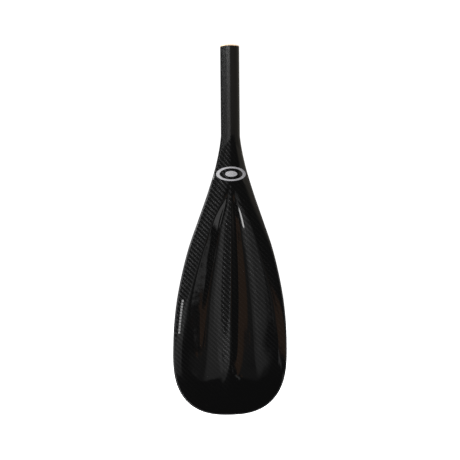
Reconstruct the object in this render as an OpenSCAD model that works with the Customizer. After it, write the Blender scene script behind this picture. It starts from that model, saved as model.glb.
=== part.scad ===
// Blade section of a two-piece single blade paddle.
// The origin is the centre of the socket's mouth, at the top of the neck tube.
// +Z runs up the tube, the blade hangs below, and the power face looks along -Y.

/* [Neck tube] */
// Outside diameter of the neck tube
tube_od = 29.8; // [29:0.1:30.2]
// Wall thickness of the neck tube
tube_wall = 1.2; // [1:0.1:1.4]
// Length of plain tube above the blade
tube_len = 140; // [130:1:180]

/* [Shaft socket] */
// Bore diameter of the socket, for the shaft's ferrule
bore_d = 25.2; // [24:0.1:25.6]
// Depth of the socket
bore_len = 75; // [50:1:75]
// Thickness of the liner's lip over the end of the tube
lip_t = 1.5; // [0.5:0.1:2]
// Thickness of the foam plug that closes the socket
plug_t = 10; // [6:1:10]

/* [Blade outline] */
// Distance between the stations that set the blade's half widths
station = 43.3; // [40:0.1:46]
// Length of the rounded tip, from the widest chord down
tip_len = 100; // [90:1:110]
// Fullness of the tip's curve, where 2 is an ellipse
tip_power = 2.53; // [2.2:0.01:2.8]
// Angle between the blade and the tube
blade_angle = 10; // [8:0.5:12]

/* [Blade section] */
// Thickness of each laminated skin
skin_t = 1.2; // [1:0.1:1.3]
// Thickness of the blade at its edge
edge_t = 3.5; // [3.2:0.1:4]
// Depth of the two flutes beside the centre ridge
flute_depth = 6; // [3:0.1:6.5]
// Width of the edge rail that shows
rail_w = 2.5; // [2:0.1:3]
// Reach of the rail's tongue between the skins
tongue_w = 3; // [2:0.1:4]

/* [Spar] */
// Length of the spar's tenon inside the neck tube
tenon_len = 52; // [30:1:52]
// Wall thickness of the hollow spar
spar_wall = 1; // [0.8:0.1:1.2]

/* [Markings] */
// Width of the blank emblem
emblem_w = 46; // [30:1:48]
// Height of the blank emblem
emblem_h = 22; // [10:1:24]

/* [Hidden] */
$fn = 96;

// Gap left for adhesive between glued pieces, and round the tenon
glue = 0.05;
glue_round = 0.1;
// Gap between faceted pieces, so that their flats never cross
bond = 0.12;

tube_r = tube_od / 2;
tube_ri = tube_r - tube_wall;

// Half widths of the blade, one at each station below the neck
half_widths = [tube_r, 22.5, 35.4, 50.7, 65.9, 77.2, 85.5, 90.3, 91.9];
// Height of the dome above the edge line on the power face, at each station
front_domes = [tube_r, 13.6, 13.6, 12, 10.2, 8.5, 7.1, 5.7, 4.4, 3.4, 2.5];
// Height of the dome above the edge line on the back, at each station
back_domes = [tube_r, 12.8, 9.6, 7, 5.4, 4.4, 3.6, 3, 2.6, 2.4, 2.2];
// Depth of the flutes at each station, as a share of flute_depth
flute_depths = [0, 0, 0.08, 0.75, 0.92, 1, 1, 0.87, 0.67, 0.2, 0];
// Distance from the ridge to the flutes' outer crests, as a share of the half width
crest_shares = [0.1, 0.1, 0.27, 0.555, 0.66, 0.74, 0.8, 0.83, 0.86, 0.9, 0.9];
// Profile of one flute from the ridge to its crest, at equal steps
flute_profile = [0, 0.74, 0.97, 0.97, 0.62, 0.29, 0];
// Half widths of the spar at equal steps below the neck
spar_halves = [tube_ri - glue_round, 12.4, 11.2, 10, 8.8, 7.4, 5, 1.2];
// Gap between the spar and the skins, and the spar's least half width inside
spar_gap = 0.1;
spar_least = 0.4;

tip_start = station * (len(half_widths) - 1);
widest = half_widths[len(half_widths) - 1];
// Power of the section's lens shape on the blade; 0.5 is the neck's circle
lens_power = 0.65;
// Where the edge build-up starts and how long it takes, below the neck
rail_start = 44;
rail_ramp = 46;
// The rail itself begins a little lower, where the build-up has some height
rail_first = 52;
// Least half thickness of the rail's tongue, and the power that rounds its bead
tongue_least = 0.04;
bead_power = 0.8;
// Length of the bend from the tube to the blade
bend_len = 130;
spar_len = 280;
spar_step = spar_len / (len(spar_halves) - 1);
// Where the foam cores start below the neck, and how far they stay inside the neck's sides
core_start = 30;
core_inset = 0.6;

// Rows of the lofted pieces: straight rows down to the tip, then rows by angle round the tip
rows_per_station = 3;
straight_rows = rows_per_station * (len(half_widths) - 1);
tip_rows = 9;
tip_angle = 87;
core_tip_angle = 78;
// Shortest step between a piece's first row and the next
first_step = 4;
skin_columns = 30;
core_columns = 8;
spar_columns = 12;
spar_rows = 21;
bead_steps = 4;

// Height of the markings off the face, and their thickness
decal_lift = 0.06;
decal_t = 0.15;
// Distance of the emblem's centre below the neck, and the shares of its ring and its inner oval
emblem_centre = 60;
ring_share = 0.78;
oval_share = 0.4;
// Row of ticks beside the left edge
tick_count = 12;
tick_pitch = 4.6;
tick_len = 3.6;
tick_w = 3;
tick_inset = 7.5;
tick_start = 256;

function ease(t) = let(k = min(max(t, 0), 1)) k * k * (3 - 2 * k);

// Smooth curve through equally spaced values
function curve(v, step, x) =
  let(i = min(max(floor(x / step), 0), len(v) - 2))
  let(t = min(max(x / step - i, 0), 1))
  let(m1 = (v[i + 1] - v[max(i - 1, 0)]) / 2)
  let(m2 = (v[min(i + 2, len(v) - 1)] - v[i]) / 2)
  v[i] * (1 - t) * (1 - t) * (1 + 2 * t) + m1 * t * (1 - t) * (1 - t)
  + v[i + 1] * t * t * (3 - 2 * t) - m2 * t * t * (1 - t);

// How far the blade's middle surface lies behind the tube's axis
function bend(d) =
  let(t = min(max(d / bend_len, 0), 1))
  tan(blade_angle) * (d < bend_len ? bend_len * (t * t * t - t * t * t * t / 2) : d - bend_len / 2);

// Share of the full edge build-up, from none on the neck to all of it on the blade
function edge_share(d) = ease((d - rail_start) / rail_ramp);

// Half width and distance of a row. The inset is measured inwards from the outline.
function row_half(row, inset) =
  row[0] < 0
  ? curve(half_widths, station, row[1]) - inset * edge_share(row[1])
  : (widest - inset) * pow(cos(row[0]), 2 / tip_power);
function row_dist(row, inset) =
  row[0] < 0 ? row[1] : tip_start + (tip_len - inset) * pow(sin(row[0]), 2 / tip_power);

// A row is [angle round the tip, or -1 above it; distance below the neck]
function rows_from(start, last_angle) = concat(
  [[-1, start]],
  [for (i = [1 : straight_rows])
    let(d = i * station / rows_per_station)
    if (d > start + first_step) [-1, d]],
  [for (i = [1 : tip_rows]) [last_angle * i / tip_rows, 0]]);

// Half width of the whole outline at any distance
function half_width(d) =
  d <= tip_start
  ? curve(half_widths, station, d)
  : widest * pow(max(1 - pow((d - tip_start) / tip_len, tip_power), 0), 1 / tip_power);

function tip_fade(d) = d <= tip_start ? 1 : max(1 - pow((d - tip_start) / tip_len, 2), 0);

// Height of a domed surface above the middle surface, at x across the row at d.
// Shrink is how far the surface lies inside the outer one.
function dome(d, x, domes, shrink) =
  let(k = 1 - edge_share(d))
  let(half = max(half_width(d) - shrink * k, 0.01))
  let(u = min(abs(x) / half, 1))
  let(height = curve(domes, station, d) * tip_fade(d) - shrink * k)
  height * pow(1 - u * u, 0.5 + (lens_power - 0.5) * ease(d / bend_len))
  + edge_t / 2 * (1 - k) - shrink * (1 - k);

function flute(d, x) =
  let(v = abs(x) / (curve(crest_shares, station, d) * max(half_width(d), 1)))
  v >= 1 ? 0
  : flute_depth * curve(flute_depths, station, d) * curve(flute_profile, 1 / (len(flute_profile) - 1), v);

function front_y(d, x, shrink) = bend(d) - max(dome(d, x, front_domes, shrink) - flute(d, x), bond / 2);
function back_y(d, x, shrink) = bend(d) + max(dome(d, x, back_domes, shrink), bond / 2);

function spar_half(d) = curve(spar_halves, spar_step, min(max(d, 0), spar_len));

// Point on a surface of the blade, at distance d below the neck
function place(x, y, d) = [x, y, -tube_len - d];

// Closed solid between two grids of points that have the same rows and columns
module slab(near, far) {
  nr = len(near);
  nc = len(near[0]);
  function id(side, i, j) = side * nr * nc + i * nc + j;
  function quad(a, b, c, d) = [[a, b, c], [a, c, d]];
  grid = [for (i = [0 : nr - 2]) for (j = [0 : nc - 2]) for (side = [0, 1])
    let(p = id(side, i, j), q = id(side, i, j + 1), r = id(side, i + 1, j + 1), s = id(side, i + 1, j))
    let(left = j < nc / 2)
    let(faces = left ? [[p, q, r], [p, r, s]] : [[q, r, s], [q, s, p]])
    for (f = faces) side == 0 ? f : [f[2], f[1], f[0]]];
  ends = [for (j = [0 : nc - 2])
    for (f = concat(
      quad(id(0, 0, j), id(1, 0, j), id(1, 0, j + 1), id(0, 0, j + 1)),
      quad(id(0, nr - 1, j), id(0, nr - 1, j + 1), id(1, nr - 1, j + 1), id(1, nr - 1, j)))) f];
  sides = [for (i = [0 : nr - 2])
    for (f = concat(
      quad(id(0, i, 0), id(0, i + 1, 0), id(1, i + 1, 0), id(1, i, 0)),
      quad(id(0, i, nc - 1), id(1, i, nc - 1), id(1, i + 1, nc - 1), id(0, i + 1, nc - 1)))) f];
  points = concat([for (row = near) for (p = row) p], [for (row = far) for (p = row) p]);
  polyhedron(points, concat(grid, ends, sides));
}

// Closed solid through rings of points, all with the same number of points
module loft(rings) {
  n = len(rings[0]);
  last = (len(rings) - 1) * n;
  walls = [for (i = [0 : len(rings) - 2]) for (j = [0 : n - 1])
    let(k = (j + 1) % n, a = i * n, b = (i + 1) * n)
    for (f = [[a + j, a + k, b + k], [a + j, b + k, b + j]]) f];
  top = [[for (j = [n - 1 : -1 : 0]) j]];
  bottom = [[for (j = [0 : n - 1]) last + j]];
  polyhedron([for (ring = rings) for (p = ring) p], concat(walls, top, bottom));
}

// Closed solid between an outer and an inner set of rings, open at both ends
module hollow_loft(outer, inner) {
  n = len(outer[0]);
  rows = len(outer);
  size = n * rows;
  walls = [for (i = [0 : rows - 2]) for (j = [0 : n - 1])
    let(k = (j + 1) % n, a = i * n, b = (i + 1) * n)
    for (f = [[a + j, a + k, b + k], [a + j, b + k, b + j],
      [size + b + k, size + a + k, size + a + j], [size + b + j, size + b + k, size + a + j]]) f];
  ends = [for (j = [0 : n - 1])
    let(k = (j + 1) % n, b = size - n)
    for (f = [[j, size + j, size + k], [j, size + k, k],
      [b + j, b + k, size + b + k], [b + j, size + b + k, size + b + j]]) f];
  points = concat([for (ring = outer) for (p = ring) p], [for (ring = inner) for (p = ring) p]);
  polyhedron(points, concat(walls, ends));
}

// Across-the-row shares, closer together near the edges
function shares(columns) = [for (j = [0 : columns]) sin(-90 + 180 * j / columns)];

function skin_half(row) = row_half(row, rail_w + glue);

// Grid of a skin's outer or inner face
function front_grid(rows, shrink) = [for (row = rows)
  let(d = row_dist(row, rail_w + glue), half = skin_half(row) - shrink * (1 - edge_share(d)))
  [for (u = shares(skin_columns)) place(half * u, front_y(d, half * u, shrink), d)]];
function back_grid(rows, shrink) = [for (row = rows)
  let(d = row_dist(row, rail_w + glue), half = skin_half(row) - shrink * (1 - edge_share(d)))
  [for (u = shares(skin_columns)) place(half * u, back_y(d, half * u, shrink), d)]];

// Ring round the spar at distance d, at a depth of shrink inside the blade's surface
function spar_ring(d, half, shrink) = concat(
  [for (u = shares(spar_columns)) place(half * u, front_y(d, half * u, shrink), d)],
  [for (u = shares(spar_columns)) place(-half * u, back_y(d, half * u, shrink), d)]);
// The first ring is the top of the round tenon, which is glued into the neck tube
function spar_rings(inside) =
  let(shrink = skin_t + spar_gap + inside)
  let(distances = concat([-tenon_len], [for (i = [0 : spar_rows]) spar_len * i / spar_rows]))
  [for (d = distances) spar_ring(d, max(spar_half(d) - inside, spar_least), shrink)];

// Grid of one face of a foam core, from the spar out to the rail's tongue
function core_grid(front, side) =
  let(shrink = skin_t + bond)
  [for (row = rows_from(core_start, core_tip_angle))
    let(inset = rail_w + tongue_w + 2 * bond)
    let(d = row_dist(row, inset))
    let(outer = row_half(row, inset) - (shrink + core_inset) * (1 - edge_share(d)))
    let(inner = d > spar_len ? bond : max(spar_half(d) + bond, bond))
    [for (j = [0 : core_columns])
      let(k = side > 0 ? j / core_columns : 1 - j / core_columns)
      let(x = side * (inner + (outer - inner) * k))
      place(x, front ? front_y(d, x, shrink) : back_y(d, x, shrink), d)]];

module neck_tube() {
  color([0.16, 0.16, 0.17])
    difference() {
      translate([0, 0, -tube_len])
        cylinder(r = tube_r, h = tube_len - lip_t);
      translate([0, 0, -tube_len - 1])
        cylinder(r = tube_ri, h = tube_len + 2);
    }
}

module socket_liner() {
  color([0.6, 0.5, 0.36])
    difference() {
      union() {
        translate([0, 0, -bore_len])
          cylinder(r = tube_ri - glue, h = bore_len);
        translate([0, 0, -lip_t])
          cylinder(r = tube_r, h = lip_t);
      }
      translate([0, 0, -bore_len - 1])
        cylinder(d = bore_d, h = bore_len + 2);
    }
}

module socket_plug() {
  chamfer = 1;
  r = tube_ri - glue;
  color([0.12, 0.12, 0.13])
    translate([0, 0, -bore_len - glue - plug_t])
      rotate_extrude()
        polygon([[0, 0], [r - chamfer, 0], [r, chamfer], [r, plug_t - chamfer], [r - chamfer, plug_t], [0, plug_t]]);
}

module spar_shell() {
  color([0.1, 0.1, 0.11])
    hollow_loft(spar_rings(0), spar_rings(spar_wall));
}

module spar_foam() {
  color([0.9, 0.86, 0.74])
    loft(spar_rings(spar_wall + bond));
}

module core_left() {
  color([0.93, 0.9, 0.8])
    slab(core_grid(true, -1), core_grid(false, -1));
}

module core_right() {
  color([0.93, 0.9, 0.8])
    slab(core_grid(true, 1), core_grid(false, 1));
}

module front_skin() {
  rows = rows_from(0, tip_angle);
  color([0.08, 0.08, 0.08])
    slab(front_grid(rows, 0), front_grid(rows, skin_t));
}

module back_skin() {
  rows = rows_from(0, tip_angle);
  color([0.08, 0.08, 0.08])
    slab(back_grid(rows, skin_t), back_grid(rows, 0));
}

// Half-round outer side of the rail, between its two edges against the skins
function bead(mid, d_mid, out, d_out, e, rise) =
  [for (i = [1 : bead_steps - 1])
    let(a = 180 * i / bead_steps)
    let(share = pow(sin(a), bead_power))
    let(d = d_mid + (d_out - d_mid) * share)
    [mid + (out - mid) * share, bend(d) - cos(a) * (e + rise * (1 - share)), d]];

// Section of the rail at one row: a full-height bead with a thin tongue inwards
function rail_ring(row, side) =
  let(out = row_half(row, 0), mid = row_half(row, rail_w), in = row_half(row, rail_w + tongue_w))
  let(d0 = row_dist(row, 0), d1 = row_dist(row, rail_w), d2 = row_dist(row, rail_w + tongue_w))
  let(k = edge_share(d0))
  let(e = max(edge_t / 2 * k, 2 * tongue_least), t = max((edge_t / 2 - skin_t) * k - bond, tongue_least))
  let(top = front_y(d1, mid, 0), low = back_y(d1, mid, 0))
  let(section = concat(
    [[in, bend(d2) - t, d2], [mid, bend(d1) - t, d1], [mid, top, d1]],
    bead(mid, d1, out, d0, e, (low - top) / 2 - e),
    [[mid, low, d1], [mid, bend(d1) + t, d1], [in, bend(d2) + t, d2]]))
  [for (p = section) place(side * p[0], p[1], p[2])];

module edge_rail() {
  rows = rows_from(rail_first, 90);
  last = len(rows) - 1;
  color([0.05, 0.05, 0.055])
    loft(concat(
      [for (i = [0 : last]) rail_ring(rows[i], -1)],
      [for (i = [last - 1 : -1 : 0]) rail_ring(rows[i], 1)]));
}

// Thin patch that follows the power face through a grid of places, each [x, distance below the neck]
module decal(places) {
  function lifted(lift) =
    [for (row = places) [for (p = row) place(p[0], front_y(p[1], p[0], 0) - lift, p[1])]];
  slab(lifted(decal_lift + decal_t), lifted(decal_lift));
}

// Plain oval inside an oval ring. The ring is two halves.
module emblem() {
  w = emblem_w / 2;
  h = emblem_h / 2;
  color([0.68, 0.67, 0.69]) {
    for (turn = [0, 180])
      decal([for (band = [1, ring_share])
        [for (a = [0 : 12 : 180]) [w * band * cos(a + turn), emblem_centre + h * band * sin(a + turn)]]]);
    decal([for (a = [-75 : 15 : 75])
      [for (s = [-1 : 0.25 : 1]) [w * oval_share * s * cos(a), emblem_centre + h * oval_share * sin(a)]]]);
  }
}

module edge_marks() {
  color([0.5, 0.5, 0.5])
    for (i = [0 : tick_count - 1])
      let(d = tick_start + tick_pitch * i, x = tick_inset - half_width(d))
      decal([for (far = [0, tick_len]) [for (s = [0, 0.5, 1]) [x + s * tick_w, d + far]]]);
}

neck_tube();
socket_liner();
socket_plug();
spar_shell();
spar_foam();
core_left();
core_right();
front_skin();
back_skin();
edge_rail();
emblem();
edge_marks();
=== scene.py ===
"""Looks for the single blade paddle: blade section, neck tube and shaft socket.

Lengths are in metres unless a name ends in _MM. The blade is drawn in rows across it. A row has a
distance below the neck, d, and runs from x = -half width to x = +half width. -Y is the power face.
Directions round the part are in degrees: turn from the front (+ is right) and rise above the level.
"""

import math

import bpy
import numpy as np
from mathutils import Matrix, Vector


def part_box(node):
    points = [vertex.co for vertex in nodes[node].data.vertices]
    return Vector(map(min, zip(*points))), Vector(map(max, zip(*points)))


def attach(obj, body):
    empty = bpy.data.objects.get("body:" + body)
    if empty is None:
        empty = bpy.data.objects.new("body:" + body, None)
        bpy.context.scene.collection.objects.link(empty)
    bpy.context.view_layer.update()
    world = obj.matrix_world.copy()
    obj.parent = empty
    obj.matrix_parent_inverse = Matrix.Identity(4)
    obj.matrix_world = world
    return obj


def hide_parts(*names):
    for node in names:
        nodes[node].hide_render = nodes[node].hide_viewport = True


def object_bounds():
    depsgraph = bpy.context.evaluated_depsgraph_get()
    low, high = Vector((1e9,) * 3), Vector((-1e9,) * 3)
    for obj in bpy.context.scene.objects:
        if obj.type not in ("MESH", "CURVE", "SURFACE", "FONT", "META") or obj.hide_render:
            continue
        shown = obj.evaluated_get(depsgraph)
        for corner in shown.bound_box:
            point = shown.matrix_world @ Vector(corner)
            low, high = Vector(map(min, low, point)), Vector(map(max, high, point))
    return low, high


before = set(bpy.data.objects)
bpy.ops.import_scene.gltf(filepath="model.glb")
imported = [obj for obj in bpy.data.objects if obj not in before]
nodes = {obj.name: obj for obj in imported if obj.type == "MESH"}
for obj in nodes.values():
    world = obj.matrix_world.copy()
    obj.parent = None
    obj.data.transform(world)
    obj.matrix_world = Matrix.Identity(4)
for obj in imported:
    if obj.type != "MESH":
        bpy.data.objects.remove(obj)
CAD_LOW, CAD_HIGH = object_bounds()
MM = 0.001

# ---------------------------------------------------------------- driving dimensions

TUBE_LOW, TUBE_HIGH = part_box("neck_tube")
TUBE_R = TUBE_HIGH.x
NECK_Z = TUBE_LOW.z
STATION = 43.3 * MM
HALF_WIDTHS = np.array([TUBE_R / MM, 22.5, 35.4, 50.7, 65.9, 77.2, 85.5, 90.3, 91.9]) * MM
FRONT_DOMES = np.array([TUBE_R / MM, 13.6, 13.6, 12, 10.2, 8.5, 7.1, 5.7, 4.4, 3.4, 2.5]) * MM
BACK_DOMES = np.array([TUBE_R / MM, 12.8, 9.6, 7, 5.4, 4.4, 3.6, 3, 2.6, 2.4, 2.2]) * MM
FLUTE_DEPTH = 6 * MM
FLUTE_DEPTHS = np.array([0, 0, 0.08, 0.75, 0.92, 1, 1, 0.87, 0.67, 0.2, 0])
CREST_SHARES = np.array([0.1, 0.1, 0.27, 0.555, 0.66, 0.74, 0.8, 0.83, 0.86, 0.9, 0.9])
FLUTE_PROFILE = np.array([0, 0.74, 0.97, 0.97, 0.62, 0.29, 0])
ROUND_POWER = 0.5
LENS_POWER = 0.65
TIP_START = STATION * (len(HALF_WIDTHS) - 1)
TIP_LEN = 100 * MM
TIP_POWER = 2.53
WIDEST = HALF_WIDTHS[-1]
BEND_LEN = 130 * MM
BEND_SLOPE = math.tan(math.radians(10))
RAIL_START = 44 * MM
RAIL_RAMP = 46 * MM
RAIL_W = 2.5 * MM
EDGE_T = 3.5 * MM
SKIN_T = 1.2 * MM
GLUE = 0.05 * MM
LEAST_RISE = 0.06 * MM
LEAST_HALF = 0.01 * MM


# ---------------------------------------------------------------- the blade's surface

def ease(t):
    """Smooth step from 0 to 1."""
    k = np.clip(t, 0, 1)
    return k * k * (3 - 2 * k)


def curve(values, step, x):
    """Smooth curve through equally spaced values."""
    x = np.asarray(x, float)
    i = np.clip(np.floor(x / step).astype(int), 0, len(values) - 2)
    t = np.clip(x / step - i, 0, 1)
    before = values[np.maximum(i - 1, 0)]
    after = values[np.minimum(i + 2, len(values) - 1)]
    m1 = (values[i + 1] - before) / 2
    m2 = (after - values[i]) / 2
    rise = t * t * (3 - 2 * t)
    return values[i] * (1 - rise) + values[i + 1] * rise + m1 * t * (1 - t) ** 2 - m2 * t * t * (1 - t)


def bend(d):
    """How far the blade's middle surface lies behind the tube's axis."""
    t = np.clip(d / BEND_LEN, 0, 1)
    return BEND_SLOPE * np.where(d < BEND_LEN, BEND_LEN * (t ** 3 - t ** 4 / 2), d - BEND_LEN / 2)


def edge_share(d):
    """Share of the full edge build-up: none on the neck, all of it on the blade."""
    return ease((d - RAIL_START) / RAIL_RAMP)


def half_width(d):
    """Half width of the whole outline at any distance."""
    t = np.clip((d - TIP_START) / TIP_LEN, 0, 1)
    tip = WIDEST * (1 - t ** TIP_POWER) ** (1 / TIP_POWER)
    return np.where(d <= TIP_START, curve(HALF_WIDTHS, STATION, d), tip)


def dome(d, x, domes, shrink=0.0):
    """Height of a face above the middle surface; shrink is how far inside the face it is taken."""
    k = 1 - edge_share(d)
    half = np.maximum(half_width(d) - shrink * k, LEAST_HALF)
    u = np.minimum(np.abs(x) / half, 1)
    fade = 1 - np.clip((d - TIP_START) / TIP_LEN, 0, 1) ** 2
    height = curve(domes, STATION, d) * fade - shrink * k
    power = ROUND_POWER + (LENS_POWER - ROUND_POWER) * ease(d / BEND_LEN)
    return height * (1 - u * u) ** power + (EDGE_T / 2 - shrink) * (1 - k)


def flute(d, x):
    """Depth of the flutes beside the centre ridge; v runs from 0 on the ridge to 1 at a flute's far side."""
    v = np.abs(x) / (curve(CREST_SHARES, STATION, d) * np.maximum(half_width(d), 1 * MM))
    depth = FLUTE_DEPTH * curve(FLUTE_DEPTHS, STATION, d)
    return np.where(v < 1, depth * curve(FLUTE_PROFILE, 1 / (len(FLUTE_PROFILE) - 1), v), 0)


def front_y(d, x, shrink=0.0):
    """Where the power face lies."""
    return bend(d) - np.maximum(dome(d, x, FRONT_DOMES, shrink) - flute(d, x), LEAST_RISE)


def back_y(d, x, shrink=0.0):
    """Where the back face lies."""
    return bend(d) + np.maximum(dome(d, x, BACK_DOMES, shrink), LEAST_RISE)


def row_places(inset, straight, round_the_tip, last_angle, start=0.0):
    """Half width and distance of each row: straight rows down to the tip, then rows by angle round it."""
    d = np.linspace(start, TIP_START, straight)
    half = curve(HALF_WIDTHS, STATION, d) - inset * edge_share(d)
    a = np.radians(np.linspace(0, last_angle, round_the_tip + 1)[1:])
    tip_half = (WIDEST - inset) * np.cos(a) ** (2 / TIP_POWER)
    tip_d = TIP_START + (TIP_LEN - inset) * np.sin(a) ** (2 / TIP_POWER)
    return np.concatenate([half, tip_half]), np.concatenate([d, tip_d])


# ---------------------------------------------------------------- mesh helpers

def new_object(name, points, faces, sharp_angle=40):
    """A smooth-shaded mesh object from points and faces."""
    mesh = bpy.data.meshes.new(name)
    mesh.from_pydata([tuple(p) for p in points], [], faces)
    mesh.validate()
    mesh.update()
    for polygon in mesh.polygons:
        polygon.use_smooth = True
    mesh.set_sharp_from_angle(angle=math.radians(sharp_angle))
    obj = bpy.data.objects.new(name, mesh)
    bpy.context.scene.collection.objects.link(obj)
    return obj


def slab_faces(rows, columns):
    """Faces of a closed solid between a near grid and a far grid of the same size."""
    faces = []
    size = rows * columns
    for i in range(rows - 1):
        for j in range(columns - 1):
            p = i * columns + j
            faces.append((p, p + columns, p + columns + 1, p + 1))
            faces.append((size + p + 1, size + p + columns + 1, size + p + columns, size + p))
    for j in range(columns - 1):
        low = (rows - 1) * columns + j
        faces.append((j, j + 1, size + j + 1, size + j))
        faces.append((size + low, size + low + 1, low + 1, low))
    for i in range(rows - 1):
        left = i * columns
        right = left + columns - 1
        faces.append((left, size + left, size + left + columns, left + columns))
        faces.append((right + columns, size + right + columns, size + right, right))
    return faces


def slab(name, near, far, sharp_angle):
    """Closed solid between two (rows, columns, 3) grids; near is the outer face."""
    rows, columns = near.shape[:2]
    points = np.concatenate([near.reshape(-1, 3), far.reshape(-1, 3)])
    return new_object(name, points, slab_faces(rows, columns), sharp_angle)


def loft(name, rings, sharp_angle):
    """Closed solid through rings of points, as an array (rings, points, 3)."""
    count, n = rings.shape[:2]
    faces = []
    for i in range(count - 1):
        for j in range(n):
            k = (j + 1) % n
            faces.append((i * n + j, i * n + k, (i + 1) * n + k, (i + 1) * n + j))
    faces.append(tuple(range(n - 1, -1, -1)))
    faces.append(tuple((count - 1) * n + j for j in range(n)))
    return new_object(name, rings.reshape(-1, 3), faces, sharp_angle)


def store(obj, name, values):
    """Keeps a vector for each point, for the materials to read."""
    attribute = obj.data.attributes.new(name, "FLOAT_VECTOR", "POINT")
    attribute.data.foreach_set("vector", np.asarray(values, np.float32).reshape(-1))


def finish_piece(obj, node):
    """Puts a piece on the part's body and takes the place of a CAD node."""
    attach(obj, "root")
    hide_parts(node)
    return obj


# ---------------------------------------------------------------- skins

SKIN_COLUMNS = 150
SKIN_ROWS = 130
SKIN_TIP_ROWS = 50
SKIN_LAST_ANGLE = 89.3
SKIN_SHARP = 50
EDGE_CROWDING = 0.55
NECK_PULL = 0.28
CLOTH_SETTLED = 110 * MM


def skin_grid(face_y, shrink):
    """Grid of a skin's outer or inner face."""
    half, d = row_places(RAIL_W + GLUE, SKIN_ROWS, SKIN_TIP_ROWS, SKIN_LAST_ANGLE)
    half = half - shrink * (1 - edge_share(d))
    across = np.linspace(-math.pi / 2, math.pi / 2, SKIN_COLUMNS + 1)
    u = EDGE_CROWDING * np.sin(across) + (1 - EDGE_CROWDING) * across / (math.pi / 2)
    on_neck = 1 - ease(d / BEND_LEN)[:, None]
    u = np.sin(across)[None, :] * on_neck + u[None, :] * (1 - on_neck)
    x = half[:, None] * u
    dd = np.broadcast_to(d[:, None], x.shape)
    return np.stack([x, face_y(dd, x, shrink), NECK_Z - dd], -1), d


def cloth_places(grid, distances):
    """Where each point lies on the flat cloth, in mm: across from the centre, and down from the neck.
    The cloth is pulled in round the neck, so its ribs run steeper there."""
    pulled = 1 + NECK_PULL * (1 - ease(distances / CLOTH_SETTLED))[:, None]
    across = grid[:, :, 0] * pulled
    centre = grid.shape[1] // 2
    down = np.concatenate([[0], np.cumsum(np.linalg.norm(np.diff(grid[:, centre], axis=0), axis=1))])
    down = np.broadcast_to(down[:, None], across.shape)
    return np.stack([across, down, np.zeros_like(across)], -1) / MM


def make_skin(name, node, face_y, is_front):
    """One skin. The back one is drawn from right to left, so that its faces point out too."""
    outer, distances = skin_grid(face_y, 0.0)
    inner = skin_grid(face_y, SKIN_T)[0]
    cloth = cloth_places(outer, distances)
    if not is_front:
        outer = outer[:, ::-1]
        inner = inner[:, ::-1]
        cloth = cloth[:, ::-1]
    skin = slab(name, outer, inner, SKIN_SHARP)
    store(skin, "cloth", np.concatenate([cloth.reshape(-1, 3), cloth.reshape(-1, 3)]))
    return finish_piece(skin, node)


front_skin = make_skin("power_face_skin", "front_skin", front_y, True)
back_skin = make_skin("back_face_skin", "back_skin", back_y, False)


# ---------------------------------------------------------------- edge rail

RAIL_FIRST = 52 * MM
RAIL_ROWS = 120
RAIL_TIP_ROWS = 70
RAIL_TONGUE = 3 * MM
RAIL_SHARP = 50
BEAD_STEPS = 8
BEAD_POWER = 0.8
LEAST_BEAD = 0.08 * MM
TONGUE_GAP = 0.12 * MM
LEAST_TONGUE = 0.04 * MM


def rail_ring(half_out, d_out, half_mid, d_mid, half_in, d_in, side):
    """One section of the rail: a rounded bead outside, with a thin tongue between the skins."""
    k = float(edge_share(d_out))
    e = max(EDGE_T / 2 * k, LEAST_BEAD)
    tongue = max((EDGE_T / 2 - SKIN_T) * k - TONGUE_GAP, LEAST_TONGUE)
    top = float(front_y(d_mid, half_mid))
    low = float(back_y(d_mid, half_mid))
    rise = (low - top) / 2 - e
    ring = [(side * half_in, float(bend(d_in)) - tongue, d_in),
            (side * half_mid, float(bend(d_mid)) - tongue, d_mid),
            (side * half_mid, top, d_mid)]
    for step in range(1, BEAD_STEPS):
        a = math.pi * step / BEAD_STEPS
        share = math.sin(a) ** BEAD_POWER
        x = half_mid + (half_out - half_mid) * share
        d = d_mid + (d_out - d_mid) * share
        y = float(bend(d)) - math.cos(a) * (e + rise * (1 - share))
        ring.append((side * x, y, d))
    ring += [(side * half_mid, low, d_mid),
             (side * half_mid, float(bend(d_mid)) + tongue, d_mid),
             (side * half_in, float(bend(d_in)) + tongue, d_in)]
    return [(x, y, NECK_Z - d) for x, y, d in ring]


def make_rail():
    """The rail, from the left of the neck round the tip to the right of the neck."""
    insets = (0, RAIL_W, RAIL_W + RAIL_TONGUE)
    rows = [row_places(inset, RAIL_ROWS, RAIL_TIP_ROWS, 90, RAIL_FIRST) for inset in insets]
    count = len(rows[0][0])
    rings = []
    for side, order in ((-1, range(count)), (1, range(count - 2, -1, -1))):
        for i in order:
            places = [float(v) for half, d in rows for v in (half[i], d[i])]
            rings.append(rail_ring(*places, side))
    rail = loft("edge_rail_bead", np.array(rings), RAIL_SHARP)
    return finish_piece(rail, "edge_rail")


edge_rail = make_rail()


# ---------------------------------------------------------------- emblem and edge marks

DECAL_LIFT = 0.03 * MM
DECAL_T = 0.12 * MM
EMBLEM_W = 46 * MM
EMBLEM_H = 22 * MM
EMBLEM_D = 60 * MM
RING_SHARE = 0.78
RING_STEPS = 60
RING_ROWS = 6
OVAL_SHARE = 0.4
OVAL_LAST_ANGLE = 85
OVAL_ROWS = 40
OVAL_COLUMNS = 24
TICK_COUNT = 12
TICK_PITCH = 4.6 * MM
TICK_LEN = 3.6 * MM
TICK_W = 3 * MM
TICK_INSET = 7.5 * MM
TICK_START = 256 * MM
TICK_COLUMNS = 4
TICK_ROWS = 3


def decal_grid(x, d, lift):
    """Grid that follows the power face a little above it."""
    return np.stack([x, front_y(d, x) - lift, NECK_Z - d], -1)


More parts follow.
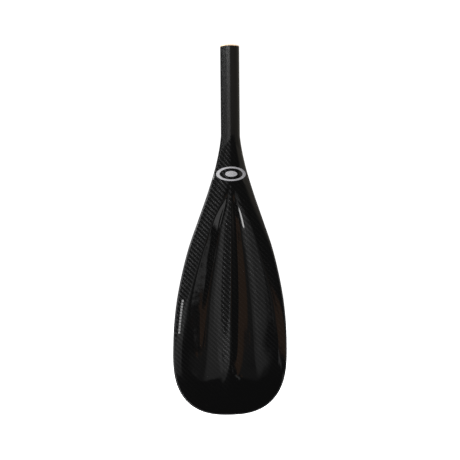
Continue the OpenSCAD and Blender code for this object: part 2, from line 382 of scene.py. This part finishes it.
def join(name, parts):
    """One object from several (points, faces) parts."""
    points = []
    faces = []
    for part_points, part_faces in parts:
        faces += [tuple(len(points) + v for v in face) for face in part_faces]
        points += list(part_points)
    return new_object(name, points, faces)


def decal_part(x, d):
    """Points and faces of a thin closed layer on the power face."""
    near = decal_grid(x, d, DECAL_LIFT + DECAL_T)
    far = decal_grid(x, d, DECAL_LIFT)
    points = np.concatenate([near.reshape(-1, 3), far.reshape(-1, 3)])
    return points, slab_faces(*x.shape)


def make_emblem():
    """Plain oval ring, in two halves, round a plain oval."""
    parts = []
    for half in (0, 1):
        angle = np.linspace(0, math.pi, RING_STEPS) + math.pi * half
        band = np.linspace(1.0, RING_SHARE, RING_ROWS)[:, None]
        x = EMBLEM_W / 2 * band * np.cos(angle)[None, :]
        d = EMBLEM_D + EMBLEM_H / 2 * band * np.sin(angle)[None, :]
        parts.append(decal_part(x, d))
    angle = np.radians(np.linspace(-OVAL_LAST_ANGLE, OVAL_LAST_ANGLE, OVAL_ROWS))[:, None]
    across = np.linspace(-1, 1, OVAL_COLUMNS)[None, :]
    x = EMBLEM_W / 2 * OVAL_SHARE * across * np.cos(angle)
    d = EMBLEM_D + EMBLEM_H / 2 * OVAL_SHARE * np.sin(angle) * np.ones_like(across)
    parts.append(decal_part(x, d))
    emblem = join("blank_oval_emblem", parts)
    return finish_piece(emblem, "emblem")


def make_marks():
    """Row of plain ticks beside the left edge."""
    ticks = []
    for i in range(TICK_COUNT):
        start = TICK_START + TICK_PITCH * i
        left = TICK_INSET - float(half_width(start))
        across = left + np.linspace(0, TICK_W, TICK_COLUMNS)
        down = start + np.linspace(0, TICK_LEN, TICK_ROWS)
        x, d = np.meshgrid(across, down)
        ticks.append(decal_part(x, d))
    marks = join("edge_tick_marks", ticks)
    return finish_piece(marks, "edge_marks")


emblem = make_emblem()
edge_marks = make_marks()


# ---------------------------------------------------------------- materials

class Graph:
    """Small helper that adds nodes to one node tree and links them."""

    def __init__(self, tree):
        self.tree = tree

    def node(self, kind, **settings):
        made = self.tree.nodes.new(kind)
        for key, value in settings.items():
            setattr(made, key, value)
        return made

    def link(self, source, target):
        """Sets a socket to a number or a tuple, or links it to another node's output."""
        if isinstance(source, (int, float, tuple)):
            target.default_value = source
        else:
            self.tree.links.new(source, target)

    def math(self, operation, a, b=0.0, c=0.0):
        """One arithmetic step on up to three values."""
        made = self.node("ShaderNodeMath", operation=operation)
        self.link(a, made.inputs[0])
        self.link(b, made.inputs[1])
        self.link(c, made.inputs[2])
        return made.outputs[0]

    def clamp_range(self, value, low, high, to_low=0.0, to_high=1.0):
        """Smooth step from to_low at low to to_high at high."""
        made = self.node("ShaderNodeMapRange", interpolation_type="SMOOTHSTEP")
        self.link(value, made.inputs["Value"])
        made.inputs["From Min"].default_value = low
        made.inputs["From Max"].default_value = high
        made.inputs["To Min"].default_value = to_low
        made.inputs["To Max"].default_value = to_high
        return made.outputs["Result"]

    def mix(self, share, a, b):
        """Colour that goes from a to b. A Mix node takes its two colours on sockets 6 and 7."""
        made = self.node("ShaderNodeMix", data_type="RGBA")
        self.link(share, made.inputs["Factor"])
        for value, socket in ((a, made.inputs[6]), (b, made.inputs[7])):
            self.link(value + (1,) if isinstance(value, tuple) else value, socket)
        return made.outputs[2]

    def mix_value(self, share, a, b):
        """Value that goes from a to b. A Mix node takes its two values on sockets 2 and 3."""
        made = self.node("ShaderNodeMix", data_type="FLOAT")
        self.link(share, made.inputs["Factor"])
        self.link(a, made.inputs[2])
        self.link(b, made.inputs[3])
        return made.outputs[0]

    def noise(self, scale, detail=2.0, stretch=(1, 1, 1), vector=None):
        """Noise with about scale lumps to a metre. A stretch below 1 draws them out along that axis."""
        if vector is None:
            vector = self.node("ShaderNodeTexCoord").outputs["Object"]
        scaled = self.node("ShaderNodeMapping")
        scaled.inputs["Scale"].default_value = stretch
        self.link(vector, scaled.inputs["Vector"])
        made = self.node("ShaderNodeTexNoise")
        made.inputs["Scale"].default_value = scale
        made.inputs["Detail"].default_value = detail
        self.link(scaled.outputs[0], made.inputs["Vector"])
        return made.outputs["Fac"]

    def bump(self, height, strength, distance):
        """Normal of a surface whose height of 0 to 1 spans this distance."""
        made = self.node("ShaderNodeBump")
        made.inputs["Strength"].default_value = strength
        made.inputs["Distance"].default_value = distance
        self.link(height, made.inputs["Height"])
        return made.outputs["Normal"]

    def band(self, value, low, high, soft):
        """1 between low and high, falling smoothly to 0 over soft on each side."""
        rising = self.clamp_range(value, low - soft, low + soft)
        falling = self.clamp_range(value, high - soft, high + soft, 1.0, 0.0)
        return self.math("MULTIPLY", rising, falling)


class Shader(Graph):
    """A material and its Principled shader."""

    def __init__(self, name):
        self.material = bpy.data.materials.new(name)
        self.material.use_nodes = True
        super().__init__(self.material.node_tree)
        self.bsdf = self.tree.nodes["Principled BSDF"]

    def set(self, socket, value):
        """Sets or links one of the shader's own sockets."""
        self.link(value, self.bsdf.inputs[socket])

    def comb(self, amount):
        """Makes highlights spread up and down, as glossy fibres laid across the part do."""
        along = self.node("ShaderNodeCombineXYZ")
        along.inputs["Z"].default_value = 1.0
        self.link(along.outputs[0], self.bsdf.inputs["Tangent"])
        self.set("Anisotropic", amount)


def grey(tone):
    """Plain grey colour."""
    return (tone, tone, tone)


# Noise is counted in lumps to a metre.
STREAKS = 260
STREAK_STRETCH = (1, 1, 0.06)
BLOTCHES = 45
BLOTCH_STRETCH = (1, 1, 0.4)
BLOTCH_RANGE = (0.35, 0.65)
BLOTCH_SHARE = 0.6
RIPPLES = 70
RIPPLE_STRETCH = (1, 1, 0.7)
PLAIN_DARK = grey(0.004)
PLAIN_LIGHT = grey(0.0165)
PLAIN_MEAN = grey(0.009)
PLAIN_ROUGH = (0.4, 0.5)
PLAIN_HEIGHT = 0.5
PLAIN_COAT = 0.6
PLAIN_COAT_ROUGH = 0.12
# The twill starts at a pointed arch below the neck. Its ribs are weaker near the neck, and towards the tip
# they fade into painted shade.
TOW_MM = 2.0
ARCH_MM = (2, 6)
NECK_FADE_MM = (20, 125)
NECK_RIBS = 0.45
# Painted shade: towards the tip the ribs fade and the twill darkens.
TIP_FADE_MM = (350, 400)
TIP_RIBS = 0.15
# Both tows are the same black fibre: the crosswise tow's near-black tone is painted shade, and the
# lengthwise tow's lighter tone is painted sheen.
FIBRE_PAINTED_SHADE = grey(0.0005)
FIBRE_PAINTED_SHEEN = (0.0125, 0.0125, 0.0128)
FIBRE_ROUGH = (0.35, 0.32)
FIBRE_BUMP = 0.25
BUMP_HEIGHT = 0.2 * MM
TWILL_COAT_ROUGH = 0.04
COAT_FIBRE_SHARE = 0.03
COAT_RIPPLE_SHARE = 0.3


def twill(shader, cloth):
    """2x2 twill of flat tows. Gives how far a lengthwise tow lies open on top, from 0 where a crosswise
    one covers it to 1 in the middle of its float, and the rounded height of the top tow."""
    split = shader.node("ShaderNodeSeparateXYZ")
    shader.link(cloth, split.inputs[0])
    across = shader.math("DIVIDE", split.outputs["X"], TOW_MM)
    down = shader.math("DIVIDE", split.outputs["Y"], TOW_MM)
    column = shader.math("FLOOR", across)
    row = shader.math("FLOOR", down)
    phase = shader.math("FLOORED_MODULO", shader.math("SUBTRACT", row, column), 4.0)
    lengthwise = shader.math("LESS_THAN", phase, 1.5)
    in_column = shader.math("SUBTRACT", shader.math("FRACT", across), 0.5)
    in_row = shader.math("SUBTRACT", shader.math("FRACT", down), 0.5)
    crown_l = shader.math("SUBTRACT", 1.0, shader.math("POWER", shader.math("ABSOLUTE", in_column), 2.0))
    crown_c = shader.math("SUBTRACT", 1.0, shader.math("POWER", shader.math("ABSOLUTE", in_row), 2.0))
    height = shader.mix_value(lengthwise, crown_c, crown_l)
    along = shader.math("SUBTRACT", shader.math("ADD", phase, shader.math("FRACT", down)), 1.0)
    float_share = shader.math("SUBTRACT", 1.0, shader.math("POWER", shader.math("ABSOLUTE", along), 2.0))
    return shader.math("MULTIPLY", lengthwise, float_share), height


def plain_carbon_looks(shader):
    """Colour, roughness and surface height of plain, lengthwise carbon with faint streaks."""
    streak = shader.noise(STREAKS, 3.0, STREAK_STRETCH)
    blotch = shader.noise(BLOTCHES, 2.0, BLOTCH_STRETCH)
    tone = shader.mix(streak, PLAIN_DARK, PLAIN_LIGHT)
    colour = shader.mix(shader.clamp_range(blotch, *BLOTCH_RANGE, 0.0, BLOTCH_SHARE), tone, PLAIN_MEAN)
    rough = shader.mix_value(streak, *PLAIN_ROUGH)
    return colour, rough, shader.math("MULTIPLY", streak, PLAIN_HEIGHT)


def carbon_skin():
    """Glossy twill carbon that turns into the tube's plain carbon at the neck. Its tows carry painted sheen
    and painted shade.
    """
    shader = Shader("twill_carbon")
    cloth = shader.node("ShaderNodeAttribute", attribute_name="cloth").outputs["Vector"]
    lengthwise, height = twill(shader, cloth)
    split = shader.node("ShaderNodeSeparateXYZ")
    shader.link(cloth, split.inputs[0])
    down = split.outputs["Y"]
    arch = shader.math("SUBTRACT", down, shader.math("ABSOLUTE", split.outputs["X"]))
    woven = shader.clamp_range(arch, *ARCH_MM)
    plain_colour, plain_rough, plain_height = plain_carbon_looks(shader)
    # Ribs weaker near the neck; towards the tip the fade is painted shade.
    clear = shader.math("MULTIPLY", shader.clamp_range(down, *NECK_FADE_MM, NECK_RIBS, 1.0),
                        shader.clamp_range(down, *TIP_FADE_MM, 1.0, TIP_RIBS))
    ribs = shader.math("MULTIPLY", lengthwise, clear)
    # Lengthwise tows lighter than crosswise ones: painted sheen on one tow of the same fibre, painted shade
    # on the other.
    fibres = shader.mix(ribs, FIBRE_PAINTED_SHADE, FIBRE_PAINTED_SHEEN)
    shader.set("Base Color", shader.mix(woven, plain_colour, fibres))
    shader.set("Metallic", 1.0)
    fibre_rough = shader.mix_value(lengthwise, *FIBRE_ROUGH)
    shader.set("Roughness", shader.mix_value(woven, plain_rough, fibre_rough))
    surface = shader.mix_value(woven, plain_height, height)
    shader.set("Normal", shader.bump(surface, FIBRE_BUMP, BUMP_HEIGHT))
    ripple = shader.noise(RIPPLES, 2.0, RIPPLE_STRETCH)
    coat_height = shader.math("ADD", shader.math("MULTIPLY", surface, COAT_FIBRE_SHARE),
                              shader.math("MULTIPLY", ripple, COAT_RIPPLE_SHARE))
    shader.set("Coat Normal", shader.bump(coat_height, 1.0, BUMP_HEIGHT))
    shader.comb(1.0)
    shader.set("Coat Weight", shader.mix_value(woven, PLAIN_COAT, 1.0))
    shader.set("Coat Roughness", shader.mix_value(woven, PLAIN_COAT_ROUGH, TWILL_COAT_ROUGH))
    return shader.material


def plain_carbon():
    """Satin lengthwise carbon of the neck tube."""
    shader = Shader("plain_carbon_tube")
    colour, rough, height = plain_carbon_looks(shader)
    shader.set("Base Color", colour)
    shader.set("Metallic", 1.0)
    shader.set("Roughness", rough)
    shader.set("Normal", shader.bump(height, FIBRE_BUMP, BUMP_HEIGHT))
    shader.comb(1.0)
    shader.set("Coat Weight", PLAIN_COAT)
    shader.set("Coat Roughness", PLAIN_COAT_ROUGH)
    return shader.material


CLOUD_SIZE = 9
CLOUD_SHARE = 0.5
NOISE_RANGE = (0.3, 0.7)


def mottled(name, dark, light, scale, rough, bump=0.15, stretch=(1, 1, 1)):
    """Plain material whose colour, roughness and surface wander a little, in a fine grain and in clouds."""
    shader = Shader(name)
    grain = shader.noise(scale, 4.0, stretch)
    cloud = shader.noise(scale / CLOUD_SIZE, 2.0)
    tone = shader.mix(shader.clamp_range(grain, *NOISE_RANGE), dark, light)
    mean = tuple((a + b) / 2 for a, b in zip(dark, light))
    clouds = shader.clamp_range(cloud, *NOISE_RANGE, 0.0, CLOUD_SHARE)
    shader.set("Base Color", shader.mix(clouds, tone, mean))
    shader.set("Roughness", shader.mix_value(grain, *rough))
    shader.set("Normal", shader.bump(grain, bump, BUMP_HEIGHT / 2))
    return shader.material


SKIN = carbon_skin()
TUBE = plain_carbon()
RAIL = mottled("satin_abs", (0.004, 0.004, 0.0045), (0.009, 0.009, 0.0095), 900, (0.38, 0.5))
LINER = mottled("glass_fibre_liner", (0.16, 0.1, 0.055), (0.42, 0.3, 0.19), 500, (0.5, 0.75), 0.3)
SILVER = mottled("silver_foil", (0.075, 0.074, 0.078), (0.11, 0.108, 0.114), 1400, (0.5, 0.6), 0.1)
INK = mottled("grey_ink", grey(0.04), grey(0.09), 1200, (0.5, 0.65))
FOAM = mottled("pvc_foam", (0.6, 0.55, 0.42), (0.78, 0.73, 0.58), 1500, (0.8, 0.95), 0.5)
PLUG = mottled("plug_foam", (0.012, 0.012, 0.013), (0.03, 0.03, 0.032), 1500, (0.8, 0.95), 0.5)
SPAR = mottled("spar_laminate", (0.01, 0.01, 0.011), (0.03, 0.03, 0.032), 900, (0.4, 0.6), 0.3, (1, 1, 0.08))


def dress(obj, material):
    """Puts one material on every slot of an object."""
    if not obj.data.materials:
        obj.data.materials.append(material)
    for slot in obj.material_slots:
        slot.material = material


MATERIALS = {"neck_tube": TUBE, "socket_liner": LINER, "socket_plug": PLUG, "spar_shell": SPAR,
             "spar_foam": FOAM, "core_left": FOAM, "core_right": FOAM, "front_skin": SKIN,
             "back_skin": SKIN, "edge_rail": RAIL, "emblem": SILVER, "edge_marks": INK}
REBUILT = {"front_skin": front_skin, "back_skin": back_skin, "edge_rail": edge_rail, "emblem": emblem,
           "edge_marks": edge_marks}
for name, piece in REBUILT.items():
    dress(piece, MATERIALS[name])
for name, material in MATERIALS.items():
    dress(nodes[name], material)


# ---------------------------------------------------------------- floor, light and camera

FLOOR_DROP = 0.16
FLOOR_HALF = 6.0
WHITE = 1.15
ROOM = (0.088, 0.088, 0.089)
BROWN = (0.36, 0.235, 0.17)
HEDGE_SCALE = 12
HEDGE_STRETCH = (1, 1, 3)
HEDGE_WANDER = 2.5
# What the clear coat mirrors. Each patch has a range of turns and a range of rises, each with how softly
# it ends, and a colour. Later patches cover earlier ones.
PATCHES = (
    # the room's walls: left, front and right
    ((-168, -4, 8), (-26, 14, 3), grey(0.15)),
    ((-8, 28, 8), (-24, 14, 4), grey(0.11)),
    ((24, 168, 10), (-20, 14, 3), grey(0.1)),
    # pale band above them, which the tube and the neck mirror
    ((-25, 168, 8), (6, 16, 1), (0.5, 0.47, 0.43)),
    ((54, 168, 10), (-10, 16, 6), (0.42, 0.39, 0.34)),
    # grey shapes low in front and on the left, which the ridge and the right flute mirror
    ((2, 14, 2), (-27.4, -23, 0.7), grey(0.16)),
    ((-60, -3, 2), (-31, -25.8, 0.5), grey(0.3)),
    ((-16, -3, 2), (-27, -23.6, 0.8), grey(0.5)),
    ((-50, -13, 2), (-45, -26, 0.8), grey(0.42)),
    ((-6, 3, 1.5), (-27.6, -21, 0.7), grey(0.33)),
    # bright window: the narrow highlight on the right flute
    ((-40, -24.8, 0.9), (-45, -31.6, 0.4), grey(11)),
    # brown shapes low on the right
    ((13, 24, 1.5), (-26.8, -23.6, 0.5), BROWN),
    ((9.2, 10.9, 0.5), (-27.6, -26.7, 0.25), BROWN),
    ((14.6, 17.6, 0.5), (-28, -26.6, 0.25), BROWN),
    ((23.5, 31, 1.2), (-27, -21.4, 0.6), BROWN),
    # pale shapes low on the right, which the left flute mirrors
    ((20.5, 34, 0.8), (-45, -30.2, 0.25), grey(1.1)),
    ((10.5, 18.8, 0.6), (-29.4, -28.6, 0.3), grey(0.65)),
)


def make_floor():
    """Plain pale floor, well below the blade's tip."""
    z = CAD_LOW.z - FLOOR_DROP
    corners = [(x * FLOOR_HALF, y * FLOOR_HALF, z) for x, y in ((-1, -1), (1, -1), (1, 1), (-1, 1))]
    mesh = bpy.data.meshes.new("studio_floor")
    mesh.from_pydata(corners, [], [(0, 1, 2, 3)])
    floor = bpy.data.objects.new("studio_floor", mesh)
    bpy.context.scene.collection.objects.link(floor)
    shader = Shader("pale_floor")
    grain = shader.noise(3.0, 2.0)
    shader.set("Base Color", shader.mix(grain, grey(0.9), grey(0.94)))
    shader.set("Roughness", 0.9)
    floor.data.materials.append(shader.material)
    floor.visible_glossy = False


def aim(obj, place, target, roll=0.0):
    """Points an object's -Z axis at a target, with +Z of the world up."""
    forward = (Vector(target) - Vector(place)).normalized()
    turn = forward.to_track_quat("-Z", "Y").to_matrix().to_4x4()
    obj.matrix_world = Matrix.Translation(Vector(place)) @ turn @ Matrix.Rotation(roll, 4, "Z")


LIGHT_TURNS = (-98, -62, -24)
LIGHT_WATTS = (45, 80, 140)
LIGHT_RISE = 28
LIGHT_DISTANCE = 3.0
LIGHT_W = 1.92
LIGHT_H = 0.85
BACK_LIGHT_TURN = 172
BACK_LIGHT_RISE = 62
BACK_LIGHT_WATTS = 150


def soft_light(name, turn_degrees, rise_degrees, watts):
    """Soft light aimed at the middle of the part, placed by its turn from the front and its rise."""
    middle = (CAD_LOW + CAD_HIGH) / 2
    turn = math.radians(turn_degrees)
    rise = math.radians(rise_degrees)
    away = Vector((math.sin(turn) * math.cos(rise), -math.cos(turn) * math.cos(rise), math.sin(rise)))
    light = bpy.data.lights.new(name, "AREA")
    light.shape = "RECTANGLE"
    light.size = LIGHT_W
    light.size_y = LIGHT_H
    light.energy = watts
    obj = bpy.data.objects.new(name, light)
    bpy.context.scene.collection.objects.link(obj)
    aim(obj, middle + LIGHT_DISTANCE * away, middle)


def make_lights():
    """Arc of soft lights, high on the left, that brings out the ribs, and one high behind for the back."""
    for turn, watts in zip(LIGHT_TURNS, LIGHT_WATTS):
        soft_light("left_light", turn, LIGHT_RISE, watts)
    soft_light("back_light", BACK_LIGHT_TURN, BACK_LIGHT_RISE, BACK_LIGHT_WATTS)


def make_world():
    """White to the camera and to matt surfaces. In reflections it is a dim room with soft patches, whose
    tops and bottoms wander a little, as a hedge's do."""
    world = bpy.data.worlds.new("studio_room")
    bpy.context.scene.world = world
    world.use_nodes = True
    world.cycles.sampling_method = "NONE"
    world.node_tree.nodes.clear()
    room = Graph(world.node_tree)
    split = room.node("ShaderNodeSeparateXYZ")
    direction = room.node("ShaderNodeTexCoord").outputs["Generated"]
    room.link(direction, split.inputs[0])
    back = room.math("MULTIPLY", split.outputs["Y"], -1.0)
    turn = room.math("MULTIPLY", room.math("ARCTAN2", split.outputs["X"], back), 180 / math.pi)
    rise = room.math("MULTIPLY", room.math("ARCSINE", split.outputs["Z"]), 180 / math.pi)
    wander = room.math("SUBTRACT", room.noise(HEDGE_SCALE, 3.0, HEDGE_STRETCH, direction), 0.5)
    rise = room.math("ADD", rise, room.math("MULTIPLY", wander, HEDGE_WANDER))
    colour = ROOM
    for turns, rises, patch_colour in PATCHES:
        inside = room.math("MULTIPLY", room.band(turn, *turns), room.band(rise, *rises))
        colour = room.mix(inside, colour, patch_colour)
    mirrored = room.node("ShaderNodeBackground")
    room.link(colour, mirrored.inputs["Color"])
    white = room.node("ShaderNodeBackground")
    white.inputs["Color"].default_value = (1, 1, 1, 1)
    white.inputs["Strength"].default_value = WHITE
    choose = room.node("ShaderNodeMixShader")
    path = room.node("ShaderNodeLightPath")
    room.link(path.outputs["Is Glossy Ray"], choose.inputs[0])
    room.link(white.outputs[0], choose.inputs[1])
    room.link(mirrored.outputs[0], choose.inputs[2])
    out = room.node("ShaderNodeOutputWorld")
    room.link(choose.outputs[0], out.inputs["Surface"])


CAMERA_DISTANCE = 1.45
CAMERA_LEFT = math.radians(3.77)
CAMERA_UP = math.radians(-0.69)
CAMERA_ROLL = math.radians(-0.48)
CAMERA_TARGET = Vector((-0.55, 20, -286.3)) * MM
SENSOR = 36.0
FOCAL_IN_WIDTHS = 1.998


def make_camera():
    """Camera in front of the power face, a little to the left and almost level."""
    data = bpy.data.cameras.new("product_camera")
    data.sensor_width = SENSOR
    data.lens = SENSOR * FOCAL_IN_WIDTHS
    camera = bpy.data.objects.new("product_camera", data)
    bpy.context.scene.collection.objects.link(camera)
    back = Vector((-math.sin(CAMERA_LEFT) * math.cos(CAMERA_UP),
                   -math.cos(CAMERA_LEFT) * math.cos(CAMERA_UP),
                   math.sin(CAMERA_UP)))
    aim(camera, CAMERA_TARGET + CAMERA_DISTANCE * back, CAMERA_TARGET, CAMERA_ROLL)
    bpy.context.scene.camera = camera


make_floor()
make_world()
make_camera()
make_lights()
bpy.context.scene.view_settings.view_transform = "Standard"
